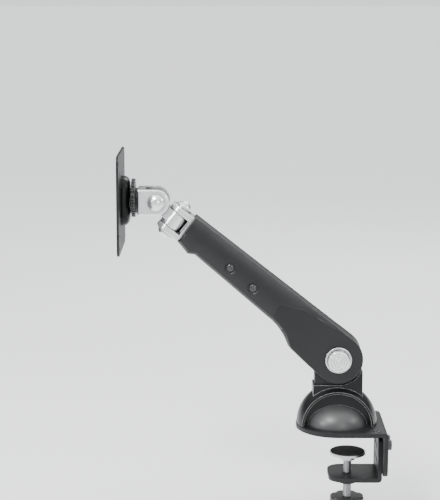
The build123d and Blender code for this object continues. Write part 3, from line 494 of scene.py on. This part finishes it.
underside = [
    hub_join, (0.057, -0.0252),
    *arc_through((0.060, -0.0238), (0.080, -0.0147), (0.100, -0.012), 14),
    (0.2156, -0.0066), (0.223, -0.011), (0.242, -0.0065),
]
hub_turn = np.linspace(pi / 2, 3 * pi / 2 + hub_join_turn, hub_steps)
outline = np.array(
    [(hub_radius * cos(t), hub_radius * sin(t)) for t in hub_turn] + underside[1:] + [(arm_end, arm_top)]
)
dish_outline = rounded([
    (0.097, -0.002), (0.0966, 0.007), (0.093, 0.0128), (0.084, 0.0160), (0.0765, 0.0205), (0.069, 0.0232),
    (0.0565, 0.0238), (0.040, 0.0256), (0.022, 0.0300), (0.0, 0.034), (-0.036, 0.034), (-0.036, -0.036),
    (0.040, -0.034), (0.052, -0.0270), (0.0600, -0.0215), (0.068, -0.0150), (0.078, -0.0108),
    (0.0885, -0.0085), (0.0945, -0.006),
])


def cover_depth(x, y):
    """How far the cover's outer face stands from the arm's middle, at each point of its side."""
    low = np.interp(x, [p[0] for p in underside], [p[1] for p in underside])
    middle = (arm_top + low) / 2 + crown_lift
    lean = (y - middle) / ((arm_top - low) / 2)
    crown = cover_face - np.where(lean > 0, crown_drop_top, crown_drop_low) * lean**2
    flat = hub_face - (hub_face - dish_floor) * smooth_step((x - dish_start) / dish_length)
    signed = distance_to(dish_outline, x, y) * np.where(inside(dish_outline, x, y), 1, -1)
    depth = crown + (flat - crown) * smooth_step(signed / dish_step + 0.5)
    for screw_x, screw_y in screw_spots:
        reach = np.hypot(x - screw_x, y - screw_y)
        open_share = smooth_step((recess_radius - reach) / recess_lip + 0.5)
        depth = depth + (recess_floor - depth) * open_share
    edge = distance_to(outline, x, y)
    low_side = smooth_step((middle - y) / low_edge_reach) * smooth_step((x - dish_start) / low_edge_length)
    radius = top_edge_radius + (low_edge_radius - top_edge_radius) * low_side
    short = np.clip(radius - edge, 0, None)
    return depth - (radius - np.sqrt(radius**2 - np.minimum(short, radius) ** 2))


def arm_point(x, y, depth):
    """A point of the arm, from its distances along, above and out of the lift axis."""
    place = lift_axis + along * float(x) + above * float(y)
    return (place.x, float(depth), place.z)


def piece(name, points, faces, finish, body, slot, *replaced, sharp=180):
    """A new mesh piece that rides on a body and stands for CAD nodes.
    Edges that turn by more than sharp degrees stay crisp."""
    data = bpy.data.meshes.new(name)
    data.from_pydata(points, [], faces)
    data.validate()
    data.shade_smooth()
    data.set_sharp_from_angle(angle=radians(sharp))
    data.materials.append(finish.material)
    made = bpy.data.objects.new(name, data)
    bpy.context.scene.collection.objects.link(made)
    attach(made, body)
    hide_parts(*replaced)


def cover_grid():
    """Rows of points across the arm's side, closer together at edges and round the dish."""
    near_edge = np.array([0, 0.1, 0.25, 0.5, 0.8, 1.2, 1.7, 2.3, 3.0, 3.8]) / 1000
    hub_rows = -hub_radius + np.append(near_edge[1:], np.linspace(0.005, hub_radius, hub_row_steps))
    # start, end and spacing of the rows along the arm
    stretches = [
        (0.002, 0.040, 0.002), (0.040, 0.102, 0.0008), (0.1025, 0.128, 0.003), (0.1275, 0.1445, 0.0005),
        (0.146, 0.164, 0.003), (0.1645, 0.1805, 0.0005), (0.182, 0.212, 0.003), (0.2125, 0.2405, 0.0015),
    ]
    arm_rows = [np.arange(*stretch) for stretch in stretches]
    grid = []
    for x in np.concatenate((hub_rows, *arm_rows, arm_end - near_edge[:5][::-1])):
        top = arm_top if x > 0 else (hub_radius**2 - x**2) ** 0.5 * arm_top / hub_radius
        on_hub = x < hub_join[0]
        low = -((hub_radius**2 - x**2) ** 0.5) if on_hub else np.interp(x, *np.array(underside).T)
        edge = near_edge * min(1, (top - low) / full_edge_span)
        middle = np.linspace(top - edge[-1], low + edge[-1], side_steps)[1:-1]
        grid.append([(x, y) for y in (*(top - edge), *middle, *(low + edge[::-1]))])
    return np.array(grid)


grid = cover_grid()
face_depth = cover_depth(grid[..., 0], grid[..., 1])
on_rim = (distance_to(outline, grid[..., 0], grid[..., 1]) < cover_rim) & (grid[..., 1] < 0)
back_depth = np.where(on_rim, cover_lip, np.minimum(cover_back, face_depth - cover_wall_least))
row_count, column_count = face_depth.shape
layer_size = row_count * column_count
for side, name in ((-1, "near"), (1, "far")):
    points = [
        arm_point(x, y, side * d)
        for layer in (face_depth, back_depth)
        for (x, y), d in zip(grid.reshape(-1, 2), layer.ravel())
    ]
    faces = []
    for r in range(row_count - 1):
        for c in range(column_count - 1):
            a, b = r * column_count + c, (r + 1) * column_count + c
            faces.append((a, a + 1, b + 1, b))
            faces.append((a + layer_size, b + layer_size, b + 1 + layer_size, a + 1 + layer_size))
    rim = list(range(column_count))
    rim += [r * column_count + column_count - 1 for r in range(1, row_count)]
    rim += [(row_count - 1) * column_count + c for c in range(column_count - 2, -1, -1)]
    rim += [r * column_count for r in range(row_count - 2, 0, -1)]
    for a, b in zip(rim, rim[1:] + rim[:1]):
        faces.append((b, a, a + layer_size, b + layer_size))
    if side < 0:
        faces = [face[::-1] for face in faces]
    piece(
        f"cover_shell_{name}", points, faces, black_plastic, "arm", "black_plastic", f"arm_cover_{name}"
    )


# ---- Cover screws -----------------------------------------------------------------------
# Button-head screws with a hex socket, two in the recesses of each cover. They are turned
# steel with a black oxide, and hold the covers to the beam.
turned_sides = 72
screw_head = 0.0044
screw_shank = 0.00245
screw_shank_end = 0.0125
screw_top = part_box("cover_screws")[1].y
head_rim_top = recess_floor + 0.0004
head_crown = np.linspace(0.15, 1.1, 8)
head_crown_bulge = 0.7
socket_radius = 0.00165
socket_chamfer = 0.0003
socket_taper = 0.0001
socket_floor = recess_floor + 0.0003


def ring_faces(ring_count, sides, closed=False):
    """Faces from each ring of points to the next, and back to the first ring where closed.
    Rings that aren't closed get a flat face at each end."""
    faces = [] if closed else [tuple(reversed(range(sides)))]
    for ring in range(ring_count if closed else ring_count - 1):
        start, ahead = ring * sides, (ring + 1) % ring_count * sides
        for step in range(sides):
            following = (step + 1) % sides
            faces.append((start + step, start + following, ahead + following, ahead + step))
    if not closed:
        faces.append(tuple(range((ring_count - 1) * sides, ring_count * sides)))
    return faces


def turned(profile, centre, direction, hex_below=0.0):
    """Points and faces of a profile of radii and heights turned about an axis.
    Rings smaller than hex_below are six-sided, as in a socket."""
    turn_axis = Vector(direction).normalized()
    first = turn_axis.orthogonal().normalized()
    second = turn_axis.cross(first)
    points = []
    for ring_radius, height in profile:
        for step in range(turned_sides):
            angle = 2 * pi * step / turned_sides
            reach = ring_radius
            if ring_radius < hex_below:
                reach = ring_radius * cos(pi / 6) / cos(angle % (pi / 3) - pi / 6)
            spoke = (first * cos(angle) + second * sin(angle)) * reach
            points.append(Vector(centre) + turn_axis * height + spoke)
    return points, ring_faces(len(profile), turned_sides)


def joined(shapes):
    """Several sets of points and faces as one."""
    points, faces = [], []
    for more_points, more_faces in shapes:
        faces += [tuple(index + len(points) for index in face) for face in more_faces]
        points += more_points
    return points, faces


screw_profile = [
    (screw_shank, screw_shank_end), (screw_shank, recess_floor), (screw_head, recess_floor),
    (screw_head, head_rim_top),
]
screw_profile += [
    (screw_head * cos(t) ** head_crown_bulge, head_rim_top + (screw_top - head_rim_top) * sin(t))
    for t in head_crown
]
screw_profile += [
    (socket_radius + socket_chamfer, screw_top), (socket_radius, screw_top - socket_taper),
    (socket_radius - socket_taper, socket_floor),
]
screw_points, screw_faces = joined([
    turned(screw_profile, lift_axis + along * x + above * y, (0, side, 0), socket_radius + 2 * socket_taper)
    for x, y in screw_spots
    for side in (-1, 1)
])
piece(
    "cover_screw_set", screw_points, screw_faces, black_oxide, "arm", "black_screw", "cover_screws",
    sharp=32,
)


# ---- Hub caps ---------------------------------------------------------------------------
# A bright cap over each end of the lift shaft, turned from bar and given a satin silver
# finish: a flange, a raised disc with a rounded rim, and fine rings in its face.
cap_flange = 0.0160
cap_disc = 0.0129
cap_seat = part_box("hub_cap_far")[0].y
cap_flange_top = 0.0223
cap_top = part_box("hub_cap_far")[1].y
cap_bore = 0.0112
cap_bore_depth = 0.0018
cap_round = 0.0014
cap_bevel = 0.0002
cap_gap = 0.0003
cap_groove_radii = (0.0096, 0.0064, 0.0032)
cap_groove_lip = 0.0001
cap_profile = [
    (cap_bore - cap_bevel, cap_top - cap_bore_depth + cap_bevel), (cap_bore, cap_top - cap_bore_depth),
    (cap_bore, cap_seat), (cap_flange - 2 * cap_bevel, cap_seat), (cap_flange, cap_seat + 2 * cap_bevel),
    (cap_flange, cap_flange_top - 4 * cap_bevel), (cap_flange - cap_bevel, cap_flange_top - cap_bevel),
    (cap_flange - 4 * cap_bevel, cap_flange_top), (cap_disc + 2 * cap_gap, cap_flange_top),
    (cap_disc + 2 * cap_bevel, cap_flange_top - cap_gap), (cap_disc, cap_flange_top - cap_gap),
    (cap_disc, cap_top - cap_round),
]
cap_profile += [
    (cap_disc - cap_round * (1 - cos(t)), cap_top - cap_round * (1 - sin(t)))
    for t in np.linspace(0.2, pi / 2, 6)
]
for groove in cap_groove_radii:
    cap_profile += [
        (groove + 2 * cap_bevel, cap_top - cap_groove_lip), (groove + cap_bevel, cap_top - 2 * cap_bevel),
        (groove - cap_bevel, cap_top - 2 * cap_bevel), (groove - 2 * cap_bevel, cap_top - cap_groove_lip),
    ]
cap_profile.append((cap_bevel, cap_top - cap_bevel))
for side, name in ((-1, "near"), (1, "far")):
    cap_points, cap_faces = turned(cap_profile, lift_axis, (0, side, 0))
    piece(
        f"hub_cap_turned_{name}", cap_points, cap_faces, silver, "arm", "silver_cap", f"hub_cap_{name}",
        sharp=40,
    )


# ---- Clamp screw ------------------------------------------------------------------------
# A turned steel screw with a rolled thread of 1.5 mm pitch, which fades out at both ends.
# The knob turns it, and it pushes the pressure foot up under the desk.
thread_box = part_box("clamp_screw")
thread_pitch = 0.0015
thread_outer = 0.0050
thread_root = 0.0042
thread_crest = 1.25
thread_slope = 2.9
thread_steps = 8
thread_length = thread_box[1].z - thread_box[0].z
thread_x = (thread_box[0].x + thread_box[1].x) / 2
thread_rings = int(thread_length / thread_pitch * thread_steps)
thread_points = []
for ring in range(thread_rings + 1):
    height = thread_length * ring / thread_rings
    end_taper = min(1.0, min(height, thread_length - height) / (2 * thread_pitch))
    for step in range(turned_sides):
        angle = 2 * pi * step / turned_sides
        phase = (height / thread_pitch - angle / (2 * pi)) % 1
        flank = min(1.0, max(0.0, thread_crest - abs(phase - 0.5) * thread_slope))
        reach = thread_root + (thread_outer - thread_root) * flank * end_taper
        thread_points.append((thread_x + reach * cos(angle), reach * sin(angle), thread_box[0].z + height))
thread_faces = ring_faces(thread_rings + 1, turned_sides)
piece(
    "clamp_thread", thread_points, thread_faces, steel, "clamp_spindle", "steel", "clamp_screw",
    sharp=30,
)


# ---- Hub cover --------------------------------------------------------------------------
# A pillow-shaped die-casting that holds the monitor plate on the head's stud. Its face is
# rounded well over on all four sides, and a flat round seat meets the index plate.
pillow_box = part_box("hub_cover")
pillow_middle = (pillow_box[0] + pillow_box[1]) / 2
pillow_corner = 0.0125
pillow_corner_least = 0.004
pillow_corner_shrink = 0.4
pillow_back = pillow_box[0].x
pillow_face = pillow_box[1].x - 0.0018
pillow_seat = 0.0154
pillow_seat_fillet = 0.0004
pillow_bore = 0.0140
pillow_rim = pillow_back + 0.0022
pillow_bevel = 0.0002
pillow_roll = 0.0072
pillow_steps = 96
stud_bore = 0.00605
stud_floor = pillow_face - 0.0042
pillow_angles = [2 * pi * (step + 0.5) / pillow_steps for step in range(pillow_steps)]


def pillow_ring(inset, depth):
    """One ring of the pillow: its outline drawn in by inset, at x = depth."""
    half_y = (pillow_box[1].y - pillow_box[0].y) / 2 - inset
    half_z = (pillow_box[1].z - pillow_box[0].z) / 2 - inset
    corner = max(pillow_corner - inset * pillow_corner_shrink, pillow_corner_least)
    ring = []
    for angle in pillow_angles:
        y = (half_y - corner) * (1 if cos(angle) > 0 else -1) + corner * cos(angle)
        z = (half_z - corner) * (1 if sin(angle) > 0 else -1) + corner * sin(angle)
        ring.append(Vector((depth, y, pillow_middle.z + z)))
    return ring


def seat_ring(reach, depth):
    """One round ring of the pillow's seat, at x = depth."""
    return [Vector((depth, reach * cos(a), pillow_middle.z + reach * sin(a))) for a in pillow_angles]


pillow_rings = [
    seat_ring(stud_bore, stud_floor), seat_ring(pillow_bore, stud_floor),
    seat_ring(pillow_bore, pillow_back), pillow_ring(pillow_bevel, pillow_back),
    pillow_ring(0, pillow_back + pillow_bevel), pillow_ring(0, pillow_rim),
]
pillow_rings += [
    pillow_ring(pillow_roll * (1 - cos(t)), pillow_rim + (pillow_face - pillow_rim) * sin(t))
    for t in np.linspace(0.15, pi / 2, 10)
]
pillow_rings += [
    seat_ring(pillow_seat + pillow_seat_fillet, pillow_face),
    seat_ring(pillow_seat, pillow_face + pillow_seat_fillet),
    seat_ring(pillow_seat, pillow_box[1].x), seat_ring(stud_bore, pillow_box[1].x),
]
pillow_points = [point for ring in pillow_rings for point in ring]
pillow_faces = ring_faces(len(pillow_rings), pillow_steps, closed=True)
piece(
    "hub_pillow", pillow_points, pillow_faces, black_cast, "monitor_plate", "black_cast", "hub_cover",
    sharp=45,
)
